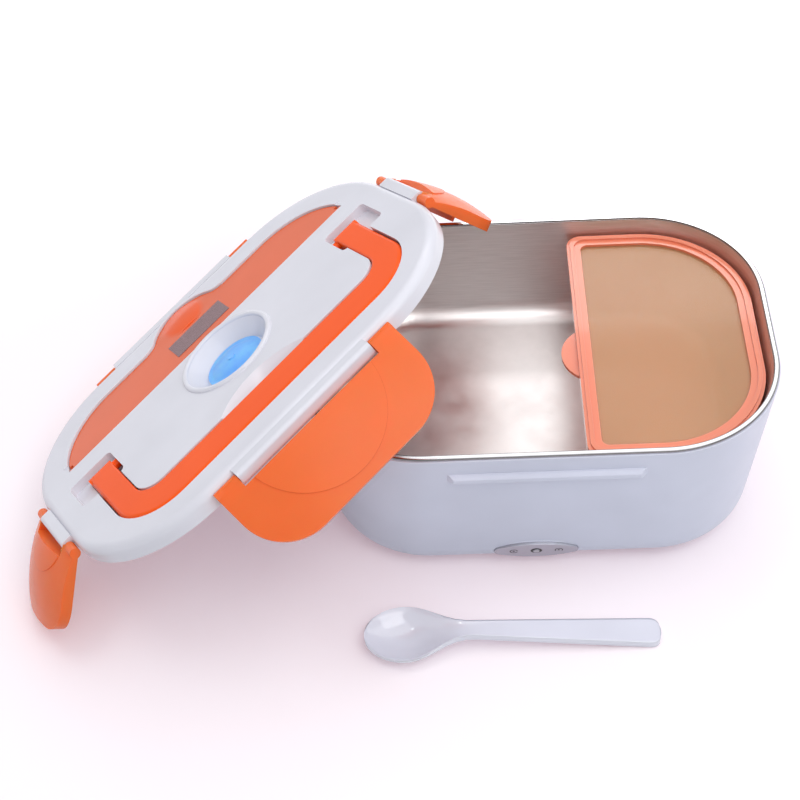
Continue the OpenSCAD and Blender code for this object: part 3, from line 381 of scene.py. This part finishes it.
# The latches' darker colour at the edges is painted shade along them.
latch_orange = moulded(
    "latch_orange", LATCH_ORANGE, 0.24, edge=(0.62, 0.05, 0.01), edge_shading_mm=0.3, Alpha=0.97,
    Subsurface_Weight=0.5, Subsurface_Scale=0.012, Specular_IOR_Level=0.2,
)
# Where an entry gives a lighter colour at the edges, for the white and black plastics, the handle
# and the frame, it is a painted highlight along them.
# Node: (width in mm of its rounded edges, material).
FINISH = {
    "base_shell": (0.5, moulded("base_white", BASE_WHITE_SHADED, 0.36, edge=(0.82, 0.82, 0.92))),
    "bottom_cover": (0.3, moulded("cover_grey", (0.58, 0.58, 0.66), 0.55, 0.03)),
    "bottom_screws": (0.15, brushed("screw_steel", STEEL, 0.3)),
    "rubber_feet": (0.4, rubber("foot_rubber", (0.025, 0.025, 0.028))),
    "steel_liner": (0.12, drawn_liner()),
    "heat_spreader": (0.2, brushed("heater_aluminium", ALUMINIUM, 0.4, (1, 0.05, 1))),
    "heating_element": (0.3, ceramic("element_ceramic", (0.5, 0.46, 0.38))),
    "heater_strap": (0.15, brushed("strap_steel", STEEL, 0.35, (0.05, 1, 1))),
    "thermostat": (0.3, moulded(
        "control_black", (0.02, 0.018, 0.018), 0.5, 0.02, edge=(0.06, 0.055, 0.055)
    )),
    "thermal_fuse": (0.2, ceramic("fuse_white", (0.7, 0.68, 0.6))),
    "heater_wires": (0, wire_sleeve((0.42, 0.02, 0.015))),
    "lamp_plate": (0.2, brushed("plate_silver", SILVER, 0.38, (0.05, 1, 1), 0.006)),
    "indicator_lamp": (0.2, moulded(
        "lamp_lens", (0.6, 0.58, 0.64), 0.12, Alpha=0.85, Coat_Weight=0.6
    )),
    "power_inlet": (0.3, moulded(
        "inlet_black", (0.012, 0.012, 0.014), 0.42, 0.02, edge=(0.05, 0.05, 0.055)
    )),
    "inlet_pins": (0.1, brushed("pin_brass", BRASS, 0.25)),
    "lid_shell": (0.4, moulded("lid_white", LID_WHITE, 0.24, edge=(0.84, 0.83, 0.88))),
    "lid_inner_plate": (0.3, moulded("lid_inner_white", INNER_WHITE, 0.34)),
    "lid_seal": (0.25, moulded("seal_silicone", (0.72, 0.72, 0.72), 0.45, 0.01, Alpha=0.9)),
    "spoon_cover": (0.25, clear_cover()),
    "cover_label": (0.06, printed_label()),
    "vent_plug": (0.15, silicone_plug()),
    "carry_handle": (0.9, moulded(
        "handle_orange", ORANGE, 0.2, edge=(1.0, 0.24, 0.09), Specular_IOR_Level=0.16
    )),
    "latch_front": (0.6, latch_orange),
    "latch_back": (0.6, latch_orange),
    "latch_left": (0.6, latch_orange),
    "latch_right": (0.6, latch_orange),
    "container_cup": (0.25, moulded("cup_coral", CUP_CORAL, 0.2, Alpha=0.92)),
    "container_lid_frame": (0.5, moulded(
        "frame_coral", CORAL, 0.12, edge=(1.0, 0.4, 0.29), Alpha=0.84, Coat_Weight=0.5
    )),
    "container_lid_panel": (0.15, moulded(
        "panel_clear", CLEAR_BROWN, 0.12, 0.0002, Alpha=0.36, Coat_Weight=0.2
    )),
    "spoon": (0, moulded("spoon_white", SPOON_WHITE, 0.1, Coat_Weight=0.5)),
}

WELD_DISTANCE = 0.001 * MM
BEVEL_SEGMENTS = 2
SHARP_ANGLE = math.radians(32)
NORMAL_WEIGHT = 60
NORMAL_THRESHOLD = 0.01


def soften(node, width):
    """Rounds a node's hard edges by width mm and shades it as one smooth moulding."""
    for face in node.data.polygons:
        face.use_smooth = True
    weld = node.modifiers.new("weld", "WELD")
    weld.merge_threshold = WELD_DISTANCE
    if width:
        bevel = node.modifiers.new("bevel", "BEVEL")
        bevel.width = width * MM
        bevel.segments = BEVEL_SEGMENTS
        bevel.limit_method = "ANGLE"
        bevel.angle_limit = SHARP_ANGLE
        bevel.use_clamp_overlap = True
        bevel.miter_outer = "MITER_ARC"
    normals = node.modifiers.new("normals", "WEIGHTED_NORMAL")
    normals.keep_sharp = True
    normals.weight = NORMAL_WEIGHT
    normals.thresh = NORMAL_THRESHOLD


for name, node in NODES.items():
    edge_width, material = FINISH[name]
    node.data.materials.clear()
    node.data.materials.append(material)
    soften(node, edge_width)


# ---------- printed marks on the lamp plate: plain rings, with radii and heights in mm

PRINT_RISE = 0.05
PRINT_SINK = 0.03
ARC_STEP = 9
LAMP_RING = (1.75, 2.95)
SIDE_ARC = (1.6, 2.15)
SIDE_DOT = (0.1, 0.6)
SIDE_DISTANCE = 11.5
# Side of the lamp: where its arc starts and ends, in degrees.
SIDE_TURNS = {-1: (20, 340), 1: (-35, 215)}


def ring(bm, place, out, right, inner, outer, start=0.0, end=360.0):
    """A flat printed ring or arc, which starts a little inside the face that it lies on."""
    up = out.cross(right)
    full = end - start >= 360
    count = max(8, int((end - start) / ARC_STEP))
    steps = range(count if full else count + 1)
    profile = (
        (inner, -PRINT_SINK), (outer, -PRINT_SINK), (outer, PRINT_RISE), (inner, PRINT_RISE),
    )
    rows = []
    for step in steps:
        angle = math.radians(start + (end - start) * step / count)
        spoke = right * math.cos(angle) + up * math.sin(angle)
        rows.append([
            bm.verts.new(place + spoke * (radius * MM) + out * (height * MM))
            for radius, height in profile
        ])
    pairs = list(zip(rows, rows[1:])) + ([(rows[-1], rows[0])] if full else [])
    for a, b in pairs:
        for i in range(4):
            j = (i + 1) % 4
            bm.faces.new((a[i], a[j], b[j], b[i]))
    if not full:
        bm.faces.new(rows[0])
        bm.faces.new(rows[-1][::-1])


def mesh_piece(name, bm, material, body):
    bmesh.ops.recalc_face_normals(bm, faces=bm.faces)
    mesh = bpy.data.meshes.new(name)
    bm.to_mesh(mesh)
    bm.free()
    mesh.materials.append(material)
    piece = bpy.data.objects.new(name, mesh)
    bpy.context.scene.collection.objects.link(piece)
    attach(piece, body)


def add_lamp_marks():
    centre, out = flat_face("lamp_plate", (0, -1, 0))
    right = Vector((0, 0, 1)).cross(out).normalized()
    lamp_low, lamp_high = (Vector(corner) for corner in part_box("indicator_lamp"))
    centre += right * ((lamp_low + lamp_high) / 2 - centre).dot(right)
    bm = bmesh.new()
    ring(bm, centre, out, right, *LAMP_RING)
    for side, turns in SIDE_TURNS.items():
        spot = centre + right * (side * SIDE_DISTANCE * MM)
        ring(bm, spot, out, right, *SIDE_ARC, *turns)
        ring(bm, spot, out, right, *SIDE_DOT)
    mesh_piece("lamp_marks", bm, mark_ink(), "base")


add_lamp_marks()


# ---------- camera, world, floor and lamps

def set_camera():
    """The photograph's view, from a fit of the camera to the traced outlines."""
    focal_px = 1797.124
    picture_px = 800
    sensor_mm = 36
    elevation, azimuth, roll = (math.radians(a) for a in (47.26, 2.368, -3.898))
    distance = 959.269 * MM
    target = Vector((-71.857, 8.806, 40)) * MM
    back = Vector((
        math.sin(azimuth) * math.cos(elevation), -math.cos(azimuth) * math.cos(elevation),
        math.sin(elevation),
    ))
    level = Vector((math.cos(azimuth), math.sin(azimuth), 0))
    rise = back.cross(level)
    right = level * math.cos(roll) + rise * math.sin(roll)
    up = rise * math.cos(roll) - level * math.sin(roll)
    data = bpy.data.cameras.new("camera")
    data.sensor_width = sensor_mm
    data.lens = focal_px / picture_px * sensor_mm
    camera = bpy.data.objects.new("camera", data)
    bpy.context.scene.collection.objects.link(camera)
    turn = Matrix((right, up, back)).transposed().to_4x4()
    camera.matrix_world = Matrix.Translation(target + back * distance) @ turn
    bpy.context.scene.camera = camera


def seen_rays(tree):
    """1 for rays that show a background: from the camera, in gloss and through clear plastic."""
    path = add_node(tree, "ShaderNodeLightPath").outputs
    total = path["Is Camera Ray"]
    for kind in ("Is Glossy Ray", "Is Transmission Ray"):
        inputs = {0: total, 1: path[kind]}
        total = add_node(tree, "ShaderNodeMath", inputs, operation="MAXIMUM").outputs[0]
    return total


def set_world():
    """A dim pale room that lights the object, and plain white where the background is seen."""
    room_colour, room_strength = (0.92, 0.94, 1.0, 1), 0.5
    white, full_strength = (1, 1, 1, 1), 1.0
    world = bpy.data.worlds.new("studio")
    world.use_nodes = True
    bpy.context.scene.world = world
    tree = world.node_tree
    tree.nodes.clear()
    room, seen = (
        add_node(tree, "ShaderNodeBackground", {"Color": colour, "Strength": strength}).outputs[0]
        for colour, strength in ((room_colour, room_strength), (white, full_strength))
    )
    mix = add_node(tree, "ShaderNodeMixShader", {"Fac": seen_rays(tree), 1: room, 2: seen})
    add_node(tree, "ShaderNodeOutputWorld", {"Surface": mix.outputs[0]})


def add_floor():
    """A pale matt floor that turns white further out. Near the object its emission is weaker and
    pinkish: painted shadow there, and painted bounce light from the orange plastic.
    """
    floor_side = 6
    colour = (0.78, 0.8, 0.815, 1)
    # Centre and reach of the painted shadow and pinkish painted bounce light around the object.
    middle = (-0.13, -0.07, 0)
    bounce_pink, white = (1.0, 0.6, 0.68), (1.0, 1.0, 1.0)
    bounce_pink_reach = (0.3, 0.7)
    painted_shadow_glow, glow_far = 0.26, 1.0
    painted_shadow_reach = (0.24, 0.75)
    bpy.ops.mesh.primitive_plane_add(size=floor_side, location=(0, 0, 0))
    floor = bpy.context.object
    floor.name = "floor"
    m = Material("floor", Roughness=0.9)
    m.shader.inputs["Base Color"].default_value = colour
    reach = m.vector("DISTANCE", m.place, middle, out="Value")
    m.drive("Emission Color", m.tint(m.span(reach, 0.0, 1.0, *bounce_pink_reach), bounce_pink, white))
    glow_with_painted_shadow = m.span(reach, painted_shadow_glow, glow_far, *painted_shadow_reach)
    m.drive("Emission Strength", m.value("MULTIPLY", seen_rays(m.tree), glow_with_painted_shadow))
    floor.data.materials.append(m.material)


# Lamp: place and aim, width and height in m, power in W.
LAMPS = {
    "top": ((0.15, 0.15, 1.5), (-0.05, 0, 0), (2.3, 1.9), 12.5),
    "front": ((0.35, -0.75, 1.15), (-0.05, -0.05, 0.05), (0.8, 0.8), 4.6),
    "side": ((1.1, 0.25, 0.5), (0, 0.05, 0.1), (0.7, 0.7), 1.6),
    "back_strip": ((-0.1, 1.3, 1.3), (-0.05, 0, 0), (1.2, 0.15), 1.8),
    "over_strip": ((-0.52, -0.03, 1.31), (-0.15, 0, 0.1), (0.5, 0.1), 1.2),
}


def add_lamp(name, place, aim, size, power):
    """A soft rectangular lamp."""
    data = bpy.data.lights.new(name, "AREA")
    data.shape = "RECTANGLE"
    data.size, data.size_y = size
    data.energy = power
    lamp = bpy.data.objects.new(name, data)
    lamp.location = place
    lamp.rotation_mode = "QUATERNION"
    lamp.rotation_quaternion = (Vector(aim) - Vector(place)).to_track_quat("-Z", "Y")
    bpy.context.scene.collection.objects.link(lamp)


set_camera()
set_world()
add_floor()
for name, settings in LAMPS.items():
    add_lamp(name, *settings)
bpy.context.scene.view_settings.view_transform = "Standard"
